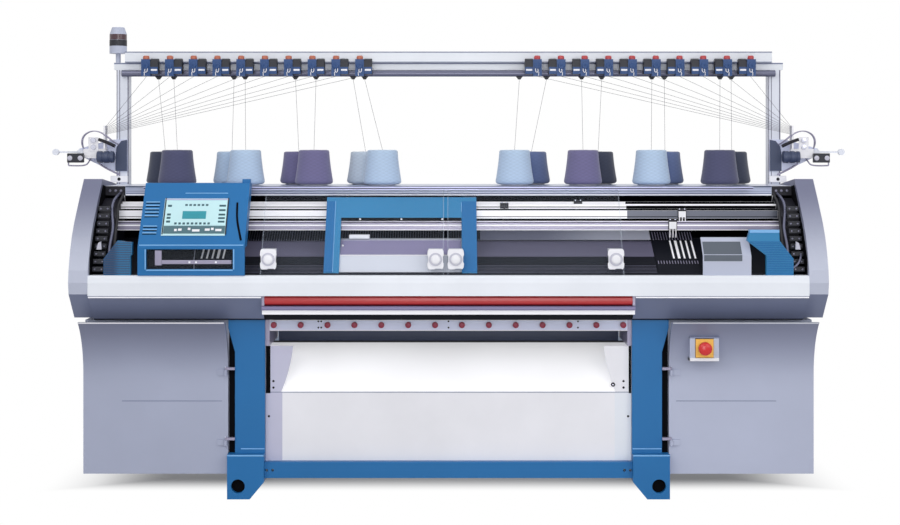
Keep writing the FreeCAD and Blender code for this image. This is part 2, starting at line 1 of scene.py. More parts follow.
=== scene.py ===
import json
import math
import bpy
import bmesh
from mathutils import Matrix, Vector


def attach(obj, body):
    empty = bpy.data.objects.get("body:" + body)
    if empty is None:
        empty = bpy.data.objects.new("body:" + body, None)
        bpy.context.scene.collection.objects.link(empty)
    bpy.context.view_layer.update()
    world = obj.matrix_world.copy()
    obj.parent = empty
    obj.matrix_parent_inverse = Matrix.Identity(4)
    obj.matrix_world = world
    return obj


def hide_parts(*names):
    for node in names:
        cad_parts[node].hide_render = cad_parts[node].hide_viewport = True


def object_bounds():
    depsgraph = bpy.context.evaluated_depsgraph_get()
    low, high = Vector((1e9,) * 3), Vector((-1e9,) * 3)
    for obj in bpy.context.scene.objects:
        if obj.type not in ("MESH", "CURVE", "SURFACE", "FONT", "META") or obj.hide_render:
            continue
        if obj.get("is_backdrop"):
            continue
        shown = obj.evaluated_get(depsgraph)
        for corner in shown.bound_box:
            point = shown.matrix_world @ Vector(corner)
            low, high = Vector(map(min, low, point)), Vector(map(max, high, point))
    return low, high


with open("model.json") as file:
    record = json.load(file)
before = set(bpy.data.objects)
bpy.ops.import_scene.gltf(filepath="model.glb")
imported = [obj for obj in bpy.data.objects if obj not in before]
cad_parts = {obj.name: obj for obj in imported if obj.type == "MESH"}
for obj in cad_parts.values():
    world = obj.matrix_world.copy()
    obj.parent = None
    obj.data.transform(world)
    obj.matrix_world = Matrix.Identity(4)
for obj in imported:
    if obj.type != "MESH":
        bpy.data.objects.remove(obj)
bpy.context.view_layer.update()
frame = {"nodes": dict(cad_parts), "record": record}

# Coordinates are in millimetres in the CAD frame: X to the right, Y to the back, Z up.
S = 0.001                  # millimetres to metres
SIDES = (("left", -1), ("right", 1))
TABLE_TOP = 1435           # height of the cone table
TABLE_HALF = 1537          # half of its length
BED_HALF = 960             # half of the needle beds' length
RAIL_HALF = 1551           # the lines on the feeder rails reach this far to each side
LEG_IN = 849               # from the middle to the legs' inner faces
CHEEK_IN = 1636            # from the middle to the cheeks' inner faces
POST_X = 1590              # from the middle to the posts
LOWER_FACE = -292          # Y of the lower front sheet's face
SHADE_FROM = 842            # the rails are painted in shade to the right of this
THIN_BEVEL = 0.0006        # on thin strips, metres

# ------------------------------------------------------------------ material helpers


def srgb(c):
    return [(x / 255 / 12.92 if x <= 10 else ((x / 255 + 0.055) / 1.055) ** 2.4) for x in c] + [1]


def tone(base, factor, lift=0.0):
    """The colour times a factor, plus a lift, as an opaque colour no brighter than white."""
    return [min(1, c * factor + lift) for c in base[:3]] + [1]


def blank(name):
    """A new material, its node tree and its surface node."""
    m = bpy.data.materials.new(name)
    m.use_nodes = True
    return m, m.node_tree, m.node_tree.nodes["Principled BSDF"]


def add(nt, kind, **values):
    """A shader node of this kind, with these inputs set (an underscore stands for a space)."""
    made = nt.nodes.new("ShaderNode" + kind)
    for key, value in values.items():
        made.inputs[key.replace("_", " ")].default_value = value
    return made


def maths(nt, operation, first, second):
    """A maths node on an output and either another output or a number."""
    made = nt.nodes.new("ShaderNodeMath")
    made.operation = operation
    nt.links.new(first, made.inputs[0])
    if isinstance(second, (int, float)):
        made.inputs[1].default_value = second
    else:
        nt.links.new(second, made.inputs[1])
    return made.outputs[0]


def reach(nt, value, start, end, most=1.0):
    """0 where value is at start, rising softly to most where it is at end."""
    made = add(nt, "MapRange", From_Min=start, From_Max=end, To_Max=most)
    made.interpolation_type = "SMOOTHSTEP"
    nt.links.new(value, made.inputs["Value"])
    return made.outputs["Result"]


def spread(nt, value, low, high):
    """A value from 0 to 1 mapped to low and high."""
    made = add(nt, "MapRange", To_Min=low, To_Max=high)
    nt.links.new(value, made.inputs["Value"])
    return made.outputs["Result"]


def toward(nt, share, first, colour):
    """The output first, mixed with a plain colour by share."""
    mix = nt.nodes.new("ShaderNodeMix")
    mix.data_type = "RGBA"
    mix.inputs[7].default_value = colour
    nt.links.new(share, mix.inputs[0])
    nt.links.new(first, mix.inputs[6])
    return mix.outputs[2]


def between(nt, value, low, high, ends=(0.0, 1.0)):
    """A colour ramp from low to high, with its two stops at ends."""
    ramp = nt.nodes.new("ShaderNodeValToRGB")
    for stop, colour, place in zip(ramp.color_ramp.elements, (low, high), ends):
        stop.color = colour
        stop.position = place
    nt.links.new(value, ramp.inputs["Fac"])
    return ramp.outputs["Color"]


def relief(nt, bsdf, height, strength, depth):
    """Bump from a height, depth in metres."""
    bump = add(nt, "Bump", Strength=strength, Distance=depth)
    nt.links.new(height, bump.inputs["Height"])
    nt.links.new(bump.outputs["Normal"], bsdf.inputs["Normal"])


def position(nt):
    """The place of the shaded point in the world, split into X, Y and Z."""
    place = nt.nodes.new("ShaderNodeNewGeometry")
    split = nt.nodes.new("ShaderNodeSeparateXYZ")
    nt.links.new(place.outputs["Position"], split.inputs[0])
    return split.outputs


def material(name, colour, rough=0.4, metal=0.0, grain=260, bump=0.0, vary=0.05, coat=0.0,
             stretch=(1, 1, 1), wear=0.0, spec=0.4, painted_glow=0.0, dusk=None, deep=0.3):
    """A procedural finish: base colour with soft variation, roughness and bump from noise.

    wear lightens the edges; the glow given adds painted light, as if the finish lit itself a
    little; and the painted shade given as (from, to, share, axis) in metres darkens the finish
    along one axis, to deep times its colour where the share is 1."""
    m, nt, bsdf = blank(name)
    base = srgb(colour)
    bsdf.inputs["Metallic"].default_value = metal
    bsdf.inputs["Coat Weight"].default_value = coat
    bsdf.inputs["Coat Roughness"].default_value = 0.15
    bsdf.inputs["Specular IOR Level"].default_value = spec
    # Painted light: the finish glows a little with its own colour.
    bsdf.inputs["Emission Color"].default_value = base
    bsdf.inputs["Emission Strength"].default_value = painted_glow
    where = nt.nodes.new("ShaderNodeTexCoord")
    scaled = add(nt, "Mapping", Scale=stretch)
    broad = add(nt, "TexNoise", Scale=2.2, Detail=5)
    fine = add(nt, "TexNoise", Scale=grain, Detail=4)
    nt.links.new(where.outputs["Object"], scaled.inputs["Vector"])
    nt.links.new(scaled.outputs["Vector"], broad.inputs["Vector"])
    nt.links.new(scaled.outputs["Vector"], fine.inputs["Vector"])
    last = between(nt, broad.outputs["Fac"], tone(base, 1 - vary), tone(base, 1 + vary), (0.3, 0.7))
    if wear:
        shape = nt.nodes.new("ShaderNodeNewGeometry")
        edge = add(nt, "MapRange", From_Min=0.52, From_Max=0.62, To_Max=wear)
        nt.links.new(shape.outputs["Pointiness"], edge.inputs["Value"])
        last = toward(nt, edge.outputs["Result"], last, tone(base, 1.5, 0.12))
    # Painted shade along one axis.
    if dusk:
        start, end, share, axis = dusk
        dark = reach(nt, position(nt)[axis], start, end, share)
        last = toward(nt, dark, last, [base[0] * deep, base[1] * deep, base[2] * deep * 1.3, 1])
    nt.links.new(last, bsdf.inputs["Base Color"])
    if painted_glow:
        nt.links.new(last, bsdf.inputs["Emission Color"])
    rougher = spread(nt, fine.outputs["Fac"], max(0.02, rough * 0.85), min(1, rough * 1.18))
    nt.links.new(rougher, bsdf.inputs["Roughness"])
    if bump:
        relief(nt, bsdf, fine.outputs["Fac"], bump, 0.0006)
    return m


def clear(name, tint, alpha, rough=0.05):
    """A clear sheet that covers what is behind it by about alpha."""
    m, nt, bsdf = blank(name)
    bsdf.inputs["Base Color"].default_value = srgb(tint)
    bsdf.inputs["Roughness"].default_value = rough
    noise = add(nt, "TexNoise", Scale=3)
    cover = spread(nt, noise.outputs["Fac"], alpha * 0.85, alpha * 1.15)
    nt.links.new(cover, bsdf.inputs["Alpha"])
    return m


def wound(name, colour):
    """Yarn on a cone: crossing winds as fine diagonal ridges, with soft fibres."""
    m, nt, bsdf = blank(name)
    base = srgb(colour)
    bsdf.inputs["Roughness"].default_value = 0.85
    bsdf.inputs["Sheen Weight"].default_value = 0.35
    where = nt.nodes.new("ShaderNodeTexCoord")
    winds = []
    for turn in (0.2, -0.2):
        turned = add(nt, "Mapping", Rotation=(0, turn, 0))
        nt.links.new(where.outputs["Object"], turned.inputs["Vector"])
        wave = add(nt, "TexWave", Scale=48, Distortion=1.2, Detail=3)
        wave.bands_direction = "Z"
        nt.links.new(turned.outputs["Vector"], wave.inputs["Vector"])
        winds.append(wave.outputs["Fac"])
    ridge = maths(nt, "MULTIPLY", maths(nt, "ADD", *winds), 0.5)
    nt.links.new(between(nt, ridge, tone(base, 0.72), tone(base, 1.22)), bsdf.inputs["Base Color"])
    relief(nt, bsdf, ridge, 0.5, 0.0012)
    return m


# ------------------------------------------------------------------ materials

BRUSHED = (0.1, 6, 6)      # draws the grain out along X
DRAWN = (0.05, 4, 4)       # and further, as on rods and rails
LOOKS = {
    "machine_blue": dict(colour=(10, 100, 160), rough=0.42, grain=420, bump=0.1, wear=0.08,
                         spec=0.3),
    "beam_blue": dict(colour=(34, 120, 170), rough=0.38, grain=420, bump=0.1, wear=0.08, spec=0.3),
    # Painted highlight: the lighter blue of lit edges, folds, creases and slats.
    "highlight_blue": dict(colour=(120, 176, 226), rough=0.34, grain=420),
    "panel_grey": dict(colour=(180, 186, 206), rough=0.4, grain=520, bump=0.12),
    # Painted shade toward the cheeks' tops.
    "cheek_grey": dict(colour=(182, 187, 205), rough=0.4, grain=520, bump=0.12,
                       dusk=(1.06, 1.44, 0.95, 2)),
    "shade_grey": dict(colour=(118, 126, 154), rough=0.4, grain=520, bump=0.12),
    "box_grey": dict(colour=(124, 119, 156), rough=0.34, grain=520, bump=0.1),
    "pale_rail": dict(colour=(226, 230, 238), rough=0.36, grain=420, bump=0.08),
    "white_metal": dict(colour=(232, 232, 238), rough=0.4, grain=420, bump=0.08),
    "red_metal": dict(colour=(172, 30, 36), rough=0.32, grain=420, bump=0.08, coat=0.2),
    "dark_red": dict(colour=(138, 44, 66), rough=0.42, grain=600, bump=0.2),
    "aluminium": dict(colour=(172, 174, 204), rough=0.34, metal=0.5, grain=90, bump=0.1,
                      stretch=(0.05, 6, 6)),
    "steel": dict(colour=(112, 112, 130), rough=0.36, metal=0.8, grain=120, bump=0.15,
                  stretch=BRUSHED),
    "bed_dark": dict(colour=(22, 24, 32), rough=0.5, metal=0.1, grain=120, bump=0.15,
                     stretch=BRUSHED, spec=0.1),
    "bed_band": dict(colour=(100, 98, 120), rough=0.4, metal=0.1, grain=120, bump=0.12,
                     stretch=BRUSHED, spec=0.2),
    "chrome": dict(colour=(206, 208, 222), rough=0.12, metal=1.0, grain=60, stretch=DRAWN),
    # Glows a little as painted light, to stay bright in the shade under the table.
    "rail_white": dict(colour=(246, 246, 252), rough=0.25, grain=60, coat=0.3, stretch=DRAWN,
                       painted_glow=0.12),
    "rail_lilac": dict(colour=(150, 146, 170), rough=0.3, metal=0.2, grain=60, coat=0.2,
                       stretch=DRAWN),
    "black_metal": dict(colour=(26, 26, 36), rough=0.45, grain=500, bump=0.15, spec=0.25),
    "white_plastic": dict(colour=(236, 236, 242), rough=0.45, grain=700, bump=0.1),
    "ring_grey": dict(colour=(190, 190, 204), rough=0.4, grain=700),
    "yellow_plastic": dict(colour=(240, 186, 84), rough=0.45, grain=700, bump=0.1),
    "red_plastic": dict(colour=(206, 20, 26), rough=0.28, grain=700, coat=0.4),
    "orange_plastic": dict(colour=(222, 84, 48), rough=0.34, grain=700, coat=0.2),
    "black_plastic": dict(colour=(28, 30, 40), rough=0.45, grain=700, bump=0.2),
    "rubber": dict(colour=(42, 42, 46), rough=0.7, grain=500, bump=0.3),
    # Painted shade: black for slots, gaps, bores and the dark space behind covers.
    "liner": dict(colour=(10, 10, 14), rough=0.8, grain=500, bump=0.1, spec=0.05),
    "icon_dark": dict(colour=(44, 84, 96), rough=0.4, grain=900),
    "icon_teal": dict(colour=(46, 150, 166), rough=0.3, grain=60, vary=0.35),
    "cap_red": dict(colour=(178, 56, 62), rough=0.34, grain=700, coat=0.2),
    "lens_dark": dict(colour=(70, 42, 52), rough=0.2, grain=700, coat=0.4),
    "tube_slate": dict(colour=(104, 106, 128), rough=0.25, metal=0.3, grain=60, stretch=DRAWN),
    "post_pale": dict(colour=(222, 226, 238), rough=0.34, grain=420),
    "box_pale": dict(colour=(204, 209, 222), rough=0.36, grain=420, bump=0.08),
    "table_grey": dict(colour=(168, 176, 200), rough=0.3, metal=0.2, grain=60, vary=0.12, coat=0.2,
                       stretch=(0.3, 6, 6)),
    # Painted shade toward the doors' tops, where the flare faces down.
    "door_grey": dict(colour=(176, 182, 204), rough=0.36, grain=520, bump=0.12,
                      dusk=(0.48, 0.84, 0.7, 2)),
    # Glows as painted light, with a painted shadow that darkens its top toward black.
    "chute_white": dict(colour=(214, 214, 216), rough=0.4, grain=420, bump=0.06, painted_glow=0.6,
                        dusk=(-0.112, -0.104, 1, 1), deep=0.02),
    # A painted sheen, with painted shade toward the left.
    "bed_sheen": dict(colour=(186, 190, 206), rough=0.4, grain=120, bump=0.1, stretch=BRUSHED,
                      dusk=(0.78, 0.4, 0.78, 0)),
    "sheet_lilac": dict(colour=(190, 190, 212), rough=0.4, grain=420, bump=0.06),
    "guard_grey": dict(colour=(84, 92, 104), rough=0.4, grain=520, bump=0.1),
    # Painted shade darkens the left end housing's outer end.
    "guide_blue": dict(colour=(34, 120, 170), rough=0.38, grain=420, bump=0.1, wear=0.08, spec=0.3,
                       dusk=(-1.49, -1.53, 0.9, 0)),
    # Painted shade: the rails beyond the right cover.
    "rail_dusk": dict(colour=(98, 102, 116), rough=0.3, metal=0.2, grain=60, stretch=DRAWN),
    # The left door, painted in shade darker than the right, with the same painted shade toward the top.
    "door_shade": dict(colour=(164, 170, 192), rough=0.36, grain=520, bump=0.12,
                       dusk=(0.48, 0.84, 0.7, 2)),
    "unit_blue": dict(colour=(18, 62, 116), rough=0.4, grain=420, bump=0.1, wear=0.08),
    "cap_rust": dict(colour=(178, 98, 74), rough=0.34, grain=700, coat=0.2),
    "slate": dict(colour=(58, 68, 96), rough=0.4, grain=420),
    "strip_pale": dict(colour=(206, 212, 236), rough=0.36, grain=420),
    "key_strip": dict(colour=(74, 108, 118), rough=0.35, grain=500),
    "yarn_white": dict(colour=(56, 56, 74), rough=0.8, grain=900, spec=0.1),
    "screen": dict(colour=(192, 228, 234), rough=0.3, vary=0.08),
}
M = {name: material(name, **look) for name, look in LOOKS.items()}

# CAD nodes that show another look than their slot's own.
NODE_LOOK = {"needle_bed_front": "bed_dark", "needle_bed_rear": "bed_dark",
             "bed_girders": "bed_dark", "carriage_guides": "bed_dark", "lower_panels": "shade_grey",
             "feeder_rails": "rail_white", "rear_cover": "shade_grey", "engaging_ledge": "box_grey",
             "top_tube": "tube_slate", "takedown_strip": "strip_pale", "beacon_lens": "lens_dark",
             "door_left": "door_shade", "door_right": "door_grey", "fabric_chute": "chute_white",
             "posts": "post_pale", "carriage_boxes": "box_pale", "cone_table": "table_grey",
             "tensioner_brackets": "strip_pale", "tension_arm_left": "post_pale",
             "tension_arm_right": "post_pale", "small_brackets": "rail_lilac",
             "end_housings": "guide_blue", "control_units": "unit_blue"}

M["clear_cover"] = clear("clear_cover", (206, 220, 240), 0.014)
M["clear_edge"] = clear("clear_edge", (210, 222, 240), 0.13)
YARNS = {"yarn_dark": (72, 74, 106), "yarn_light": (178, 200, 226), "yarn_violet": (107, 103, 143),
         "yarn_slate": (92, 108, 150), "yarn_ink": (54, 60, 80), "yarn_pale": (194, 208, 224)}
for name, colour in YARNS.items():
    M[name] = wound(name, colour)

slots = {r["node"]: r["material_slot"] for r in frame["record"]["subparts"]}
for node, obj in frame["nodes"].items():
    if obj.type != "MESH":
        continue
    obj.data.materials.clear()
    obj.data.materials.append(M[NODE_LOOK.get(node, slots[node])])

# ------------------------------------------------------------------ mesh helpers


def settle(o, mat, body):
    """Puts a piece in the scene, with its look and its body."""
    bpy.context.scene.collection.objects.link(o)
    o.data.materials.append(M[mat])
    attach(o, body)
    return o


def mesh_object(name, verts, faces, mat, body="frame", smooth=False, bevel=0.0):
    """A mesh piece from points in metres, with its bevel in metres too."""
    me = bpy.data.meshes.new(name)
    me.from_pydata([Vector(v) for v in verts], [], faces)
    bm = bmesh.new()
    bm.from_mesh(me)
    bmesh.ops.recalc_face_normals(bm, faces=bm.faces)
    bm.to_mesh(me)
    bm.free()
    o = bpy.data.objects.new(name, me)
    for p in me.polygons:
        p.use_smooth = smooth
    if bevel:
        b = o.modifiers.new("bevel", "BEVEL")
        b.width = bevel
        b.segments = 2
        b.limit_method = "ANGLE"
    return settle(o, mat, body)


def span(s, near, far):
    """The stretch of X from near to far on side s, lowest first."""
    return sorted((s * near, s * far))


def boxes(name, corners, mat, body="frame", bevel=0.0, face=None):
    """Several boxes in one piece, each (low, high) in millimetres. A sloping face given by a
    point and its rise in Y and Z takes them as (x, up the slope, out of it)."""
    oy, oz, ry, rz = face or (0, 0, 1, 0)
    verts, faces = [], []
    for lo, hi in corners:
        n = len(verts)
        for w in (lo[2], hi[2]):
            for x, v in ((lo[0], lo[1]), (hi[0], lo[1]), (hi[0], hi[1]), (lo[0], hi[1])):
                verts.append((x * S, (oy + v * ry - w * rz) * S, (oz + v * rz + w * ry) * S))
        faces += [(n, n + 1, n + 2, n + 3), (n + 4, n + 5, n + 6, n + 7), (n, n + 1, n + 5, n + 4),
                  (n + 1, n + 2, n + 6, n + 5), (n + 2, n + 3, n + 7, n + 6),
                  (n + 3, n, n + 4, n + 7)]
    return mesh_object(name, verts, faces, mat, body, bevel=bevel)


def prisms(name, rows, mat, body, bevel, place):
    """Prisms in one piece, each (start, end, outline) in millimetres. place turns a distance
    along the prism and a point of its outline into X, Y and Z."""
    verts, faces = [], []
    for start, end, loop in rows:
        n, k = len(verts), len(loop)
        verts += [place(along * S, a * S, b * S) for along in (start, end) for a, b in loop]
        faces += [tuple(range(n, n + k)), tuple(range(n + k, n + 2 * k))]
        faces += [(n + i, n + (i + 1) % k, n + k + (i + 1) % k, n + k + i) for i in range(k)]
    return mesh_object(name, verts, faces, mat, body, bevel=bevel)


def slabs(name, rows, mat, body="frame", bevel=0.0):
    """Prisms along X, each (x0, x1, outline in Y and Z)."""
    return prisms(name, rows, mat, body, bevel, lambda x, y, z: (x, y, z))


def fronts(name, rows, mat, body="frame", bevel=0.0):
    """Prisms along Y, each (y0, y1, outline in X and Z)."""
    return prisms(name, rows, mat, body, bevel, lambda y, x, z: (x, y, z))


def lathe(name, spots, profile, mat, body="frame", segments=40, axis="z"):
    """Turned shapes in one piece, one at each spot: profile is (radius, height along the axis)
    pairs, millimetres."""
    verts, faces = [], []
    for spot in spots:
        n, k = len(verts), len(profile)
        for r, h in profile:
            for j in range(segments):
                a = 2 * math.pi * j / segments
                u, v = r * math.cos(a), r * math.sin(a)
                off = {"z": (u, v, h), "y": (u, h, v), "x": (h, u, v)}[axis]
                verts.append(tuple((spot[i] + off[i]) * S for i in range(3)))
        for i in range(k - 1):
            for j in range(segments):
                a, b = n + i * segments + j, n + i * segments + (j + 1) % segments
                faces.append((a, b, b + segments, a + segments))
        faces.append(tuple(n + j for j in range(segments)))
        faces.append(tuple(n + (k - 1) * segments + j for j in range(segments)))
    o = mesh_object(name, verts, faces, mat, body, smooth=True)
    edge = o.modifiers.new("edge", "EDGE_SPLIT")
    edge.split_angle = math.radians(35)
    return o


def wire(name, paths, radius, mat, body="frame"):
    """Round wires in one piece, each led by its points, millimetres."""
    cu = bpy.data.curves.new(name, "CURVE")
    cu.dimensions = "3D"
    cu.bevel_depth = radius * S
    cu.bevel_resolution = 2
    cu.use_fill_caps = True
    for path in paths:
        sp = cu.splines.new("NURBS")
        sp.points.add(len(path) - 1)
        for q, p in zip(sp.points, path):
            q.co = (p[0] * S, p[1] * S, p[2] * S, 1)
        sp.order_u = min(4, len(path))
        sp.use_endpoint_u = True
    return settle(bpy.data.objects.new(name, cu), mat, body)


# ------------------------------------------------------------------ yarn cones

CONE_HIGH = 172
CONE_PITCH = 331
ROWS = {"rear": (411, 200), "front": (320, 20)}     # X of the innermost cones, and the row's Y
REAR_DROP = 8                                       # the rear cones are this much lower
FRONT = "dark light violet light light violet light dark".split()
REAR = "dark light violet dark dark dark dark dark".split()       # their CAD nodes
REAR_LOOK = "ink light violet pale slate ink slate ink".split()


def package(drop):
    """Outline of a wound cone: rounded foot, hollow flank and the end of its paper tube."""
    top = TABLE_TOP + CONE_HIGH - drop
    rows = [(64, 1439.6), (80, 1441), (88.5, 1446), (92, 1453), (91.6, 1460)]
    for i in range(1, 9):
        u = i / 9
        rows.append((74.5 + 16.6 * (1 - u) ** 1.35, 1462 + (top - 1474) * u))
    rows += [(74, top - 8), (71, top - 3), (64, top - 0.4), (30, top - 4), (22, top - 4),
             (21, top), (17, top), (16, top - 18)]
    return rows


spots = {}
for pair in range(8):                  # from left to right, a rear and a front cone each
    s, step = (-1, 3 - pair) if pair < 4 else (1, pair - 4)
    for row in ("rear", "front"):
        kind = (REAR if row == "rear" else FRONT)[pair]
        look = REAR_LOOK[pair] if row == "rear" else kind
        inner, y = ROWS[row]
        spots.setdefault((kind, look, row), []).append((s * (inner + step * CONE_PITCH), y, 0))
for (kind, look, row), at in spots.items():
    cone = lathe("wound_%s_%s" % (look, row), at, package(REAR_DROP if row == "rear" else 0),
                 "yarn_" + look)
    if row == "front" or kind == "dark":
        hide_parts("cones_" + kind)
    lathe("paper_%s_%s" % (look, row), at,
          [(20, 1435.3), (62, 1435.3), (66, 1436), (66, 1441.4)], "white_plastic", segments=40)

# ------------------------------------------------------------------ control panel

PANEL = "control_panel"
HOOD = (-456, 1165, 0.56, 0.8285)      # the hood's sloping face: a point, and its rise in Y and Z
boxes("screen_display", [((-1301, 113, 3.3), (-1021, 245, 4.6))], "screen", PANEL, 0.001, HOOD)
boxes("screen_keys", [((-1301, 70, 3.3), (-1021, 111, 5))], "key_strip", PANEL, 0.001, HOOD)
icons = [((x, 218, 4.6), (x + 12, 228, 5)) for x in range(-1214, -1100, 19)]
icons += [((-1293, v, 4.6), (-1275, v + 11, 5)) for v in (213, 166, 148, 128)]
icons += [((-1056, v, 4.6), (-1026, v + 10, 5)) for v in (214, 190, 166, 147, 128)]
icons += [((x, 118, 4.6), (x + 11, 129, 5)) for x in range(-1255, -1090, 19)]
boxes("screen_icons", icons, "icon_dark", PANEL, face=HOOD)
boxes("screen_map", [((-1222, 148, 4.6), (-1113, 190, 5.2))], "icon_teal", PANEL, 0.001, HOOD)
keys = [((x, v, 5), (x + w, v + 12, 6)) for x, w, v in
        ((-1252, 12, 82), (-1234, 16, 84), (-1190, 12, 88), (-1170, 34, 80), (-1112, 22, 84),
         (-1084, 12, 88), (-1064, 28, 82))]
boxes("screen_marks", keys, "white_plastic", PANEL, 0.001, HOOD)
boxes("screen_rim", [((-1304, 247, 0.4), (-1018, 250, 2)), ((-1308, 66, 0.4), (-1302.5, 262, 5)),
                     ((-1019.5, 66, 0.4), (-1014, 262, 5))], "black_plastic", PANEL, 0.0008, HOOD)
boxes("screen_top", [((-1304, 250.5, 0.4), (-1018, 257, 6))], "aluminium", PANEL, 0.001, HOOD)
vents = (74, 92, 110, 166, 185, 203, 222, 240)
# Louvres with painted highlights, and painted shade in the slots between them.
boxes("hood_louvres", [((-1396, v - 2, -1), (-1332, v + 3.4, 3.6)) for v in vents],
      "highlight_blue", PANEL, 0.0012, HOOD)
boxes("hood_slots", [((-1396, v - 7, -1), (-1332, v - 2.2, 0.5)) for v in vents], "liner", PANEL,
      face=HOOD)
# Painted highlights along the hood's creases.
boxes("hood_crease_highlights", [((-1220, 288, 0), (-1022, 292, 1.4)), ((-1404, 8, 0), (-931, 13, 1.6))],
      "highlight_blue", PANEL, THIN_BEVEL, HOOD)
# Painted highlights along the window's sill and sides.
boxes("window_frame_highlights", [((-1371, -457.6, 1058), (-978, -449.3, 1064)),
                      ((-1378, -457, 1064), (-1372, -450, 1156)),
                      ((-977, -457, 1064), (-971, -450, 1156))], "highlight_blue", PANEL, 0.0012)
boxes("window_bracket", [((-1333, -449.4, 1082), (-1302, -443.6, 1150)),
                         ((-1302, -449.4, 1088), (-985, -444.4, 1106))], "rail_lilac", PANEL, 0.002)
boxes("window_bolts", [((x, -451, 1092), (x + 9, -449.5, 1101)) for x in (-1180, -1150, -1060)],
      "white_plastic", PANEL, 0.002)
grip = [(-975, 238), (-974, 205), (-972.5, 172), (-966.8, 128), (-956, 86), (-943.7, 36)]
oy, oz, ry, rz = HOOD
SUNK = 1.5                             # the grip's axis lies this far inside the face
path = [(x, oy + v * ry + SUNK * rz, oz + v * rz - SUNK * ry) for x, v in grip]
# The grip's slot, a dark tube half sunk in the face as painted shade.
wire("hood_grip", [path], 5.5, "liner", PANEL)

# ------------------------------------------------------------------ behind the covers

# Painted shade: black sheets inside the rear cover and the table, as the space behind the rails is
# dark, and inside the cheeks.
slabs("rear_shade_sheet", [(2 - CHEEK_IN, CHEEK_IN - 2,
                      [(435, 905), (435, 1180), (379, 1317), (328, 1391), (326, 1390),
                       (377, 1316), (433, 1179), (433, 905)]),
                     (3 - TABLE_HALF, TABLE_HALF - 3,
                      [(-105, 1392), (325, 1392), (325, 1394), (-105, 1394)])], "liner")
for side, s in SIDES:
    xs = span(s, CHEEK_IN - 2.8, CHEEK_IN - 0.6)
    slabs("cheek_shade_sheet_" + side, [(xs[0], xs[1],
                                   [(-425, 1042), (-420, 1110), (-335, 1240), (-152, 1440),
                                    (260, 1400), (390, 1320), (450, 1180), (450, 1000),
                                    (-380, 1000)])], "liner")

BED_GAP = -20              # the rear bed mirrors the front one about this Y
BED_RISE = 0.5215          # rise of the front bed's face, Z for each step in Y
NEEDLE_PITCH = 12
RIB_PITCH = 10.5
TOOTH_PITCH = 13
FINGER_PITCH = 25


def mirrored(loop):
    """An outline of the front bed on the rear one."""
    return [(2 * BED_GAP - y, z) for y, z in loop]


band = [(-268, 1109.2), (-146, 1172.9), (-146.5, 1174), (-268.6, 1110.6)]
slabs("bed_band_front", [(2 - BED_HALF, BED_HALF - 2, band)], "bed_band")
slabs("bed_band_rear", [(2 - BED_HALF, BED_HALF - 2, mirrored(band))], "bed_band")
NEEDLE = [(-138, 1176.6), (-34, 1230.9), (-34, 1233.4), (-50, 1226.8), (-138, 1179.4)]
xs = [NEEDLE_PITCH * i for i in range(-79, 80)]
slabs("needles_front", [(x - 1.1, x + 1.1, NEEDLE) for x in xs], "steel")
slabs("needles_rear", [(x - 1.1, x + 1.1, mirrored(NEEDLE)) for x in xs], "steel")
grooves = []
for n in range(6):
    y = -392 + RIB_PITCH * n
    z = 1040 + (y + 400) * BED_RISE
    grooves.append((4 - BED_HALF, BED_HALF - 4, [(y, z + 0.2), (y + 2.4, z + 1.45),
                                                 (y + 2, z + 2.2), (y - 0.4, z + 0.9)]))
slabs("bed_ribs", grooves, "steel")
# Combs and yarn fingers at the ends of the front bed, level with it.
for side, s in SIDES:
    xs = span(s, BED_HALF + 2, BED_HALF + 196)
    slabs("bed_comb_" + side, [(xs[0], xs[1], [(-396, 1020), (-396, 1041.6), (-40, 1227.2),
                                               (-40, 1205), (-380, 1020)])], "bed_dark")
    teeth, fingers = [], []
    for i in range(15):
        x = s * (972 + TOOTH_PITCH * i)
        for loop in ([(-322, 1080.2), (-300, 1091.7), (-300, 1093.2), (-322, 1081.8)],
                     [(-130, 1180.2), (-70, 1211.5), (-70, 1213.1), (-130, 1181.8)]):
            teeth.append((x - 1.5, x + 1.5, loop))
    for i in range(5):
        x, half = s * (1048 + FINGER_PITCH * i), 6 if i == 1 else 4
        fingers.append((x - half, x + half, [(-280, 1102.1), (-140, 1175.1), (-140, 1176.9),
                                             (-280, 1103.9)]))
    slabs("comb_teeth_" + side, teeth, "rail_lilac")
    slabs("comb_fingers_" + side, fingers, "rail_white")
# A painted sheen over the front needles right of the middle.
slabs("bed_sheen", [(150, BED_HALF - 2, [(-136, 1180.4), (-60, 1222.6), (-60, 1223.6),
                                         (-136, 1181.4)])], "bed_sheen")
# Painted shade: a black sheet inside the left guard.
slabs("guard_shade_sheet", [(-1377, -1159, [(-432.4, 1037), (-432.4, 1110.6), (-396, 1153.2),
                                       (-395, 1152.3), (-431.4, 1110.2), (-431.4, 1037)])], "liner")
for side, s in SIDES:
    xs = span(s, TABLE_HALF + 1, CHEEK_IN - 1)
    boxes("table_end_" + side, [((xs[0], -102, 1390), (xs[1], -100.3, 1434))], "black_metal")
    lathe("table_bolts_" + side, [(s * x, -102, 1412) for x in (1560, 1585, 1612)],
          [(0.5, -3), (5, -2.6), (6.4, -1), (6.4, 1)], "steel", segments=16, axis="y")

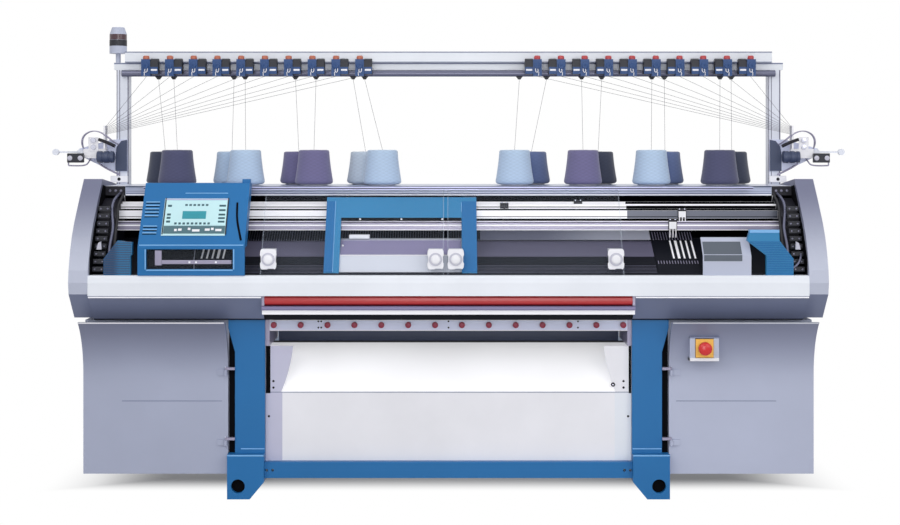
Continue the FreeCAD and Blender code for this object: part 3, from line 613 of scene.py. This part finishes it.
# Rails: a lilac face and a painted glint on the lowest one, and dark grooves; painted shade makes
# all dark beyond the right cover apart from one thin line.
for name, rows, look in (
        ("rail_face", ((-RAIL_HALF, -219.8, 1233, -219.1, 1271),), "rail_lilac"),
        ("rail_glint", ((-RAIL_HALF, -220.4, 1250, -219.8, 1256),), "rail_white"),
        ("rail_grooves", ((-RAIL_HALF, -179.9, 1290, -179.1, 1293),
                          (-RAIL_HALF, -139.9, 1334, -139.1, 1338),
                          (-RAIL_HALF, -219.9, 1264, -219.75, 1267)), "liner"),
        ("rail_shade", ((SHADE_FROM, -179.3, 1283.4, -179.02, 1320.6),), "rail_dusk"),
        ("rail_shadows", ((SHADE_FROM, -139.3, 1327.4, -139.02, 1342),
                          (SHADE_FROM, -104.3, 1349, -104.02, 1359.6)), "liner")):
    boxes(name, [((x, y0, z0), (RAIL_HALF, y1, z1)) for x, y0, z0, y1, z1 in rows], look)
boxes("table_edge", [((1 - TABLE_HALF, -111.6, 1428), (TABLE_HALF - 1, -110.1, 1434.6))],
      "slate")
# A painted highlight along the table's front.
boxes("table_highlight_line", [((2 - TABLE_HALF, -111.4, 1391), (TABLE_HALF - 2, -110.1, 1395))],
      "rail_white")
boxes("table_shadows", [((2 - TABLE_HALF, -110.9, z), (TABLE_HALF - 2, -110.1, z + high))
                        for z, high in ((1397, 4), (1409, 2.5), (1420, 2))], "shade_grey")
boxes("cover_track_slot", [((-1434, -190.9, 1423), (1434, -190.1, 1427))], "liner")

# ------------------------------------------------------------------ carriage

CAR = "carriage"
RISE = (-411, 1044, 0.5479, 0.8366)    # the bow's sloping front
LID = (-348, 1120, 0.7698, 0.6383)     # the carriage box's sloping front
boxes("upright_faces", [((-571, 4, -1), (-531, 383, 3)), ((62, 4, -1), (131, 383, 2))],
      "machine_blue", CAR, 0.002, RISE)
# Painted highlights on the uprights' steps.
boxes("upright_steps", [((-531, 4, -1), (-528, 383, 3.4)), ((59, 325, -1), (62, 375, 4))],
      "highlight_blue", CAR, 0.0008, RISE)
# Painted shade under the beam.
boxes("beam_under", [((-500, -246, 1277), (60, -232, 1289.6))], "liner", CAR, 0.001)
lathe("beam_studs", [(x, -247, 1283) for x in (-413, -220, -29)],
      [(0.5, -4), (3.4, -3.4), (4.8, -1.5), (5, 1)], "white_plastic", CAR, 16, "y")
# Painted shade: a darker sheet on the box's upward sloping face.
boxes("box_slope_shade", [((-500, 6, -0.5), (60, 103, 1.2))], "box_grey", CAR, 0.001, LID)
boxes("box_front_lip", [((-500, -2, -1), (60, 4, 2))], "white_metal", CAR, 0.001, LID)
boxes("box_tower", [((-464, -264, 1192.6), (-368, -212, 1211))], "pale_rail", CAR, 0.003)
lathe("box_screws", [(-490, -300, 1163)], [(0.5, -3), (4, -2.4), (5, -1), (5, 2)], "white_plastic",
      CAR, 16, "y")

# ------------------------------------------------------------------ covers

PANE = (-428.6, 1036.5, 0.5465, 0.8374)        # the clear covers' sloping face
COVERS = (("left", -440, 838), ("right", 398, 806))       # the X of each one's middle, and its width
# Outline of a latch's plate about its knob.
LATCH = [(-30, -47), (-4, -47), (0, -42), (24, -42), (27, -47), (31, -46), (36, -38), (38, -20),
         (34, -14), (34, 12), (38, 18), (36, 38), (31, 46), (-31, 46), (-36, 38), (-38, 18),
         (-34, 12), (-34, -14), (-38, -20), (-36, -40)]
for side, x, wide in COVERS:
    own = "cover_" + side
    half = wide / 2
    boxes("pane_edges_" + side, [((x - half, 2, -0.3), (x - half + 4, 455, 0.8)),
                                 ((x + half - 4, 2, -0.3), (x + half, 455, 0.8)),
                                 ((x - half, 449, -0.3), (x + half, 455, 0.8))],
          "clear_edge", own, face=PANE)
    spots = [(x + k * (half - 38), -433, 1108) for k in (-1, 1)]
    lathe("latch_rings_" + side, spots,
          [(23, 5.2), (29, 5.2), (30, 0.5), (28.5, -1.5), (24.2, -1.2)], "ring_grey", own, 36, "y")
    lathe("latch_knobs_" + side, spots, [(0.5, -9), (14, -8.6), (19, -6.5), (21, -3), (22, 0)],
          "white_plastic", own, 36, "y")
    plates = [(-428, -419, [(px + u, pz + 1 + v) for u, v in LATCH]) for px, _, pz in spots]
    plate = fronts("latch_plates_" + side, plates, "white_plastic", own, 0.002)
    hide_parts("latches_" + side)
    slabs("latch_wedges_" + side, [(px - 32, px + 32, [(-420, 1064), (-413, 1064), (-355, 1153),
                                                       (-420, 1153)]) for px, _, _ in spots],
          "pale_rail", own)

# ------------------------------------------------------------------ lower front

for side, s in SIDES:
    # Painted highlights along the doors' top lips, brighter on the left.
    xs = span(s, 1024, 1688)
    slabs("door_lip_highlight_" + side, [(xs[0], xs[1], [(-421.9, 819.9), (-416.5, 814), (-415.5, 815),
                                               (-420.6, 820)])],
          "rail_white" if s < 0 else "pale_rail", "door_" + side)
# Painted shade deep in the feet's bores.
lathe("bore_ends", [(s * 968, y, 60) for _, s in SIDES for y in (-336, 326)],
      [(0.5, 0), (31.6, 0), (31.6, 10), (0.5, 10)], "liner", axis="y")
cheek = [(-374, 637), (-374, 748), (-352, 748), (-312, 637)]
slabs("stop_frame", [(1107, 1132, cheek), (1216, 1241, cheek)], "panel_grey", "door_right", 0.0012)
# A painted highlight on the sill below the stop button, and painted shade along the top of its frame.
slabs("stop_sill_highlight", [(1107, 1241, [(-375, 637), (-375, 652), (-318, 652), (-312, 637)])],
      "white_metal", "door_right", 0.0012)
slabs("stop_shade", [(1107, 1243, [(-375, 742), (-375, 749), (-352, 749), (-350, 742)])],
      "shade_grey", "door_right", 0.0008)
lathe("stop_dome", [(1174, -404, 697)], [(0.5, -7), (13, -6.4), (23, -3.8), (28.6, 0), (30.6, 5),
                                         (30.6, 9), (28, 15), (24, 17.6)], "red_plastic",
      "estop_button", 48, "y")
for side, s in SIDES:
    xs = (-1511, -1048) if s < 0 else (1053, 1516)
    boxes("door_groove_" + side, [((xs[0], -310.7, 443), (xs[1], -309.5, 446.4))], "shade_grey",
          "door_" + side)
    # Painted shade in the gaps between the legs and the doors.
    xs = span(s, 989, 1016)
    boxes("gap_shade_sheet_" + side, [((xs[0], -299, 112), (xs[1], -296, 818))], "liner")
    xs = span(s, 1026, 1034)
    boxes("hinge_pins_" + side, [((xs[0], -325.5, z), (xs[1], -318.5, z + 3))
                                 for z in (278.4, 602.4)], "chrome", bevel=0.001)
    # The left strip is painted in shade, darker than the right one.
    xs = span(s, 771, LEG_IN - 1)
    boxes("sheet_strip_" + side, [((xs[0], LOWER_FACE - 0.9, 168), (xs[1], LOWER_FACE + 0.1, 482))],
          "sheet_lilac" if s < 0 else "pale_rail")
    # Painted shade in the gaps beside the chute.
    xs = span(s, LEG_IN - 2, 826 if s < 0 else 836)
    boxes("chute_gap_" + side, [((xs[0], LOWER_FACE - 1.2, 478), (xs[1], LOWER_FACE + 0.1, 697))],
          "liner")
    screws = [(s * x, LOWER_FACE - 2, z) for x, z in ((812, 534), (812, 504), (833, 371))]
    lathe("plate_screws_" + side, screws, [(0.5, -1.5), (4.4, -1.2), (5.4, 0.4), (5.4, 2)],
          "black_metal", segments=14, axis="y")
    # Painted highlights along the feet's and legs' top edges.
    foot = span(s, LEG_IN + 0.5, LEG_IN + 168.5)
    boxes("foot_edge_highlight_" + side, [((foot[0], -361, 198), (foot[1], -359.4, 204.5))], "highlight_blue",
          bevel=THIN_BEVEL)
    leg = span(s, LEG_IN + 2, LEG_IN + (136 if s > 0 else 111))
    boxes("leg_fold_highlight_" + side, [((leg[0], -317, 222), (leg[1], -315.5, 227))], "highlight_blue",
          bevel=THIN_BEVEL)
lathe("panel_lock", [(763, LOWER_FACE, 518)],
      [(0.5, -3), (4, -3), (4.4, -6), (8, -6.4), (9.6, -4), (10, 1)], "black_metal", segments=28,
      axis="y")
lathe("panel_lock_core", [(763, LOWER_FACE - 5, 518)],
      [(0.5, -2.6), (3.4, -2.4), (4, -1), (4, 4)], "chrome", segments=20, axis="y")
boxes("panel_seam", [((1 - LEG_IN, LOWER_FACE - 1, 481), (LEG_IN - 1, LOWER_FACE + 0.1, 484.5))],
      "shade_grey")
# Painted shade: a dark sheet deep in the throat above the chute.
boxes("throat_shade_sheet", [((-826, 62, 640), (826, 64, 835))], "slate")
# The chute's left side plate is in the shade; its inner edge curves.
steps = [k / 5 for k in range(6)]
plate = [(-847.5, 484), (-847.5, 697)]
plate += [(-721 - 56 * u + 34 * u * (1 - u), 697 - 213 * u) for u in steps]
fronts("plate_shade", [(LOWER_FACE - 0.8, LOWER_FACE + 0.2, plate)], "sheet_lilac")
ADJUSTER_PITCH = 124.4
stops = [((n - 6.5) * ADJUSTER_PITCH, -318, 796) for n in range(14)]
lathe("adjuster_heads", stops, [(0.5, -3.4), (7, -3.2), (11.6, -1.8), (13.2, 0.4), (13.4, 3)],
      "dark_red", segments=28, axis="y")
dots = [(x, -300, z) for x in (-603, -590, 0, 600) for z in (812, 783)]
lathe("strip_screws", dots, [(0.5, -1.4), (3.4, -1.2), (4.4, 0), (4.4, 1)], "black_metal",
      segments=12, axis="y")
boxes("strip_lips", [((-828, -301.6, 768.3), (828, -299.4, 772)),
                     ((-828, -301.6, 816), (828, -299.4, 819.6))], "white_metal", bevel=THIN_BEVEL)
# A painted highlight along the ledge's lip.
slabs("ledge_lip_highlight", [(1 - LEG_IN, LEG_IN - 1, [(-437.6, 878), (-433.4, 857.5),
                                                   (-430.5, 857.5), (-434, 878)])],
      "rail_white")
for side, s in SIDES:
    xs = span(s, LEG_IN + 1, CHEEK_IN - 1)
    # A painted highlight along the rail's lower lip, and a painted shadow line above it.
    boxes("rail_lip_highlight_" + side, [((xs[0], -457, 934.5), (xs[1], -440, 941))], "rail_white",
          bevel=0.001)
    boxes("rail_gap_" + side, [((xs[0], -459, 941.2), (xs[1], -442, 943.9))], "shade_grey")
    xs = span(s, CHEEK_IN + 0.3, CHEEK_IN + 87.7)
    slabs("cheek_under_" + side, [(xs[0], xs[1], [(-450.3, 950.7), (-341.3, 834.2), (-340, 836),
                                                   (-449, 952)])], "shade_grey")

# ------------------------------------------------------------------ feeders, guards and ends

# Each feeder's X at rest, the Y of its rail's face, and the rail's lowest and highest Z.
FEEDERS = ((1050, -215, 1230, 1273), (1100, -175, 1283, 1321), (264, -135, 1327, 1350),
           (616, -100, 1341, 1360))
for n, (x, y, low, high) in enumerate(FEEDERS, 1):
    own = "feeder_%d" % n
    front = n < 3                      # the front two are white, with fingers
    boxes("feeder_block_%d" % n, [((x - 17, y - 15.6, low + 6), (x + 17, y - 14, high - 3))],
          "white_plastic" if front else "black_plastic", own, 0.0012)
    lathe("feeder_rolls_%d" % n, [(x - 12, y - 9, high + 5), (x + 12, y - 9, high + 5)],
          [(3, 0), (5, 0.5), (5, 4), (2.4, 5), (0.5, 5.2)], "chrome", own, 20)
    if front:
        boxes("feeder_fingers_%d" % n,
              [((x + k - 2.2, y - 18.4, low - 34), (x + k + 2.2, y - 15.6, low + 14))
               for k in (-14, 0, 14)], "white_plastic", own, 0.001)
# Ribs on the end housings, which narrow above the rail and lean toward the machine's middle.
END_RIB_PITCH = 8
ribs = []
for i in range(19):
    z = 1042 + END_RIB_PITCH * i
    right = 1570 if z < 1111 else 1570 - (z - 1111) * 63 / 82
    left = 1447 if z < 1125 else 1447 - (z - 1125) * 88 / 68
    ribs.append((left + 2, right - 2, z))
boxes("end_ribs_right", [((a, -432.4, z), (b, -429.6, z + 3.4)) for a, b, z in ribs],
      "machine_blue", bevel=THIN_BEVEL)
# The left ribs are painted in shade, slate against the right ones' blue.
boxes("end_ribs_left_shaded", [((-b, -432.4, z), (-max(a, 1442), -429.6, z + 3.4)) for a, b, z in ribs],
      "slate", bevel=THIN_BEVEL)
# A painted highlight on the right end housing's cap.
boxes("end_cap_right", [((1370, -431.5, 1229), (1506, -400, 1242.5))], "highlight_blue", bevel=0.001)
for side, s in SIDES:
    xs = span(s, 1574, 1630)
    steps = [(16 * i, 34 * i) for i in range(9)]       # each link is further back and higher
    boxes("end_links_" + side, [((xs[0], y - 398, z + 1050), (xs[1], y - 372, z + 1072))
                                for y, z in steps], "black_plastic", bevel=0.002)
    lathe("end_pins_" + side, [(s * x, y - 399, z + 1061) for y, z in steps for x in (1586, 1618)],
          [(0.5, -2.4), (3.6, -2), (4.6, 0), (4.6, 2)], "steel", segments=12, axis="y")
# Cables inside the cheeks, from the posts' feet down into the end housings, and small brackets.
CABLE = [(1566, -84, 1404), (1566, -130, 1393), (1570, -188, 1380), (1577, -226, 1346),
         (1566, -268, 1296), (1552, -300, 1250), (1554, -340, 1200), (1556, -380, 1150),
         (1548, -416, 1098)]
HOSE = [(1545, -84, 1403), (1544, -124, 1391), (1546, -176, 1374), (1552, -214, 1336),
        (1542, -256, 1290), (1540, -306, 1236), (1534, -360, 1170), (1528, -414, 1100)]
wire("end_cables", [[(s * x, y, z) for x, y, z in CABLE] for _, s in SIDES], 6.5, "tube_slate")
wire("end_hoses", [[(s * x, y, z) for x, y, z in HOSE] for _, s in SIDES], 6, "rubber")
wire("hose_right", [[(1618, -350, 1132), (1617, -380, 1126), (1608, -403, 1102),
                     (1590, -412, 1076), (1552, -414, 1058)]], 5.5, "tube_slate")
fronts("end_brackets", [(-392, -380, [(s * 1588, 1150), (s * 1590, 1188), (s * 1604, 1180),
                                      (s * 1612, 1150)]) for _, s in SIDES],
       "ring_grey", bevel=0.002)
GUARD = (-431, 1125, 0.674, 0.7387)    # the right guard's sloping top
boxes("guard_shade", [((1163, 8, -0.2), (1337, 82, 0.7))], "guard_grey", face=GUARD)
boxes("guard_shade_low", [((1163, -431.8, 1100), (1337, -430.6, 1128))], "guard_grey", bevel=THIN_BEVEL)

# ------------------------------------------------------------------ top bar and units

boxes("bar_edges", [((-1575, 59.1, 2080), (1575, 60.2, 2085)),
                    ((-1575, 59.1, 2032.3), (1575, 60.2, 2036)),
                    ((-1632, 79.2, 2025), (1632, 80.3, 2031))], "shade_grey")
UNIT_PITCH = 114.7
units = [(s, s * (429 + UNIT_PITCH * n)) for _, s in SIDES for n in range(10)]
for side, s in SIDES:
    caps = lathe("caps_" + side, [(x, 12, 2044) for k, x in units if k == s],
                 [(15.4, 0.2), (15.8, 3), (15.4, 13), (13, 17.2), (9, 18.4), (0.5, 18.8)],
                 "cap_rust" if s < 0 else "cap_red", segments=28)
    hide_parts("unit_caps")
lathe("unit_bosses", [(x, -10, 2012) for s, x in units],
      [(15.5, 1), (15.5, -4), (13, -6.4), (5, -6.8), (4, -5), (0.5, -5)], "unit_blue",
      segments=28, axis="y")
wire("unit_hooks", [[(x - 9 * s, -12, 1999), (x - 11 * s, -15, 1984), (x - s, -16, 1977),
                     (x + 5 * s, -15, 1986), (x + s, -13, 1997)] for s, x in units] +
     [[(x + 6 * s, -11, 1982), (x + 6 * s, -12, 1974), (x + 5 * s, -11, 1965)] for s, x in units],
     1.9, "white_plastic")
drums = [x - s * 40 for s, x in units]      # each unit's drum is nearer the middle
boxes("drum_plates", [((x - 19, -5, 1973), (x + 19, -4, 2007)) for x in drums], "unit_blue",
      bevel=THIN_BEVEL)
boxes("drum_dashes", [((x - 15, -7, 1988), (x + 15, -4.8, 1997)) for x in drums],
      "white_plastic", bevel=0.002)
lathe("drum_rolls", [(x - 20.5, 20, 2026) for x in drums],
      [(12, 0), (21, 1), (22.5, 5), (22.5, 36), (21, 40), (12, 41)], "black_plastic",
      segments=28, axis="x")
# The X at which each cone's yarn passes its guide under the bar.
TOPS = (-1411, -1337, -1044, -990, -745, -645, -464, -408,
        345, 477, 648, 746, 990, 1051, 1322, 1376)
fronts("guide_eyes", [(54, 71, [(t - 17, 1964), (t + 17, 1964), (t + 5, 1949.6), (t - 5, 1949.6)])
                      for t in TOPS], "black_plastic", bevel=0.001)
boxes("post_grooves", [((s * POST_X + x, 79.3, 1440), (s * POST_X + x + wide, 80.3, 1996))
                       for _, s in SIDES for x, wide in ((-29, 3), (-16, 3), (24, 5))],
      "bed_band")
BEACON = (-1618, 110, 0)
lathe("beacon_band", [BEACON], [(41, 2114), (42.4, 2115), (42.4, 2144), (41, 2145)],
      "black_plastic", segments=48)
lathe("beacon_top", [BEACON], [(27, 2203), (27, 2205.4), (12, 2205.8), (0.5, 2205.9)],
      "black_plastic", segments=40)

# ------------------------------------------------------------------ yarn tensioners

BOW = ((1772, 1624), (1775, 1664), (1747, 1692), (1708, 1702), (1658, 1682), (1619, 1642))
for side, s in SIDES:
    wire("tension_bows_" + side, [[(s * 1774, 70, 1608)] + [(s * x, y, z) for x, z in BOW] +
                                  [(s * 1606, 66, 1632)] for y in (0, 12, 24)], 2.6, "rail_lilac")
    wire("tension_bar_" + side, [[(s * 1692, 8, 1657), (s * 1652, 8, 1645), (s * 1612, 8, 1624)]],
         8, "black_metal")
    lathe("tension_drum_" + side, [(span(s, 1700, 1618)[0], 18, 1572)],
          [(10, 0), (27, 1), (29, 4), (29, 24), (26, 26), (26, 34), (29, 36), (29, 56), (26, 58),
           (26, 66), (29, 68), (27, 80), (10, 82)], "slate", segments=36, axis="x")
    xs = span(s, 1762, 1839)
    boxes("tension_block_" + side, [((xs[0], -14, 1545), (xs[1], 18, 1590))], "black_plastic",
          bevel=0.003)
    lathe("block_bosses_" + side, [(s * 1775, -14, 1567), (s * 1825, -14, 1567)],
          [(0.5, -3), (9, -2.6), (12, -1), (12, 2)], "ring_grey", segments=24, axis="y")
    rods = [[(1742, 70, 1562), (1742, 40, 1556), (1744, 14, 1541), (1756, 10, 1530),
             (1800, 10, 1529), (1837, 10, 1531)],
            [(1837, 10, 1531), (1838, 10, 1545), (1836, 8, 1560)]]
    wire("tension_rods_" + side, [[(s * x, y, z) for x, y, z in rod] for rod in rods], 3.5,
         "rail_lilac")
    xs = span(s, 1697, 1745)
    boxes("tension_plate_" + side, [((xs[0], 26, 1600), (xs[1], 30, 1668))], "white_plastic",
          bevel=0.002)
    lathe("tension_discs_" + side, [(s * 1721, 26, 1652), (s * 1721, 26, 1620)],
          [(0.5, -9), (3, -9), (3.4, -5), (12, -4.4), (13, -3), (12, -1.6), (4, -1), (4, 1)],
          "chrome", segments=28, axis="y")
    fronts("tension_cheek_" + side, [(64, 67.6, [(s * 1566, 1504), (s * 1566, 1656),
                                                 (s * 1594, 1650), (s * 1616, 1622),
                                                 (s * 1622, 1580), (s * 1622, 1504)])],
           "slate", bevel=0.001)
    xs = span(s, 1562, 1646)
    boxes("tension_foot_" + side, [((xs[0], 62, 1448), (xs[1], 79.4, 1480))], "white_plastic",
          bevel=0.003)
    lathe("foot_screw_" + side, [(s * 1604, 62, 1464)], [(0.5, -3), (6, -2.6), (8, -1), (8, 2)],
          "black_metal", segments=20, axis="y")
    wire("tension_strut_" + side, [[(s * 1702, 67, 1541), (s * 1690, 58, 1528),
                                    (s * 1640, 56, 1504), (s * 1600, 60, 1486)]], 4.5, "rail_lilac")

# ------------------------------------------------------------------ light, floor and camera

WHITE = (1, 1, 1, 1)


def seen_rays(nt):
    """1 for rays from the camera, and for those that metal and glass send on."""
    kinds = nt.nodes.new("ShaderNodeLightPath").outputs
    direct = maths(nt, "MAXIMUM", kinds["Is Camera Ray"], kinds["Is Glossy Ray"])
    return maths(nt, "MAXIMUM", direct, kinds["Is Transmission Ray"])


def shaders(nt, share, first, second, last):
    """Joins two shaders by share and leads them to an output's first input."""
    mix = nt.nodes.new("ShaderNodeMixShader")
    for link, place in ((share, 0), (first.outputs[0], 1), (second.outputs[0], 2)):
        nt.links.new(link, mix.inputs[place])
    nt.links.new(mix.outputs[0], last.inputs[0])


world = bpy.data.worlds.new("studio")
bpy.context.scene.world = world
world.use_nodes = True
nt = world.node_tree
nt.nodes.clear()
soft = add(nt, "Background", Color=WHITE, Strength=0.6)      # what lights the machine
white = add(nt, "Background", Color=WHITE, Strength=1.0)     # what shows behind it
shaders(nt, seen_rays(nt), soft, white, nt.nodes.new("ShaderNodeOutputWorld"))

for name, at, size, power in (("key", (-3.2, -5.5, 5.2), 4.0, 115),
                              ("fill", (4.2, -5.0, 3.6), 4.5, 85),
                              ("front", (0.4, -8.0, 1.5), 3.0, 115),
                              ("top", (0, 0.5, 6.0), 5.0, 50)):
    lamp = bpy.data.lights.new(name, "AREA")
    lamp.size = size
    lamp.energy = power
    o = bpy.data.objects.new(name, lamp)
    o.location = at
    o.rotation_mode = "QUATERNION"
    o.rotation_quaternion = (Vector((0, 0, 1)) - Vector(at)).to_track_quat("-Z", "Y")
    bpy.context.scene.collection.objects.link(o)

# Floor: pale under the machine, where it keeps the shadow, and white beyond, to the rays that
# are seen.
fm, nt, under = blank("floor")
under.inputs["Base Color"].default_value = (0.45, 0.45, 0.46, 1)
under.inputs["Roughness"].default_value = 0.9
x, y, _ = position(nt)
beyond = maths(nt, "MAXIMUM", reach(nt, y, 0.1, -0.2), reach(nt, y, 0.3, 0.9))
beyond = maths(nt, "MAXIMUM", beyond, reach(nt, maths(nt, "ABSOLUTE", x, 0), 1.35, 1.95))
share = maths(nt, "MULTIPLY", spread(nt, beyond, 0.15, 1), seen_rays(nt))
shaders(nt, share, under, add(nt, "Emission", Color=WHITE), nt.nodes["Material Output"])
me = bpy.data.meshes.new("floor")
me.from_pydata([(-30, -12, 0), (30, -12, 0), (30, 30, 0), (-30, 30, 0)], [], [(0, 1, 2, 3)])
floor = bpy.data.objects.new("floor", me)
me.materials.append(fm)
bpy.context.scene.collection.objects.link(floor)
floor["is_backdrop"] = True

# Camera: level, in front of the middle, where the photo seems to be taken from.
cam = bpy.data.cameras.new("camera")
cam.sensor_width = 36
cam.lens = 61.8
cam.shift_y = -0.125
cam.shift_x = 0.00167
eye = bpy.data.objects.new("camera", cam)
eye.location = (0, -7.46, 1.606)
eye.rotation_euler = (math.radians(90), 0, 0)
bpy.context.scene.collection.objects.link(eye)
bpy.context.scene.camera = eye
bpy.context.scene.view_settings.view_transform = "Standard"

low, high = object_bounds()
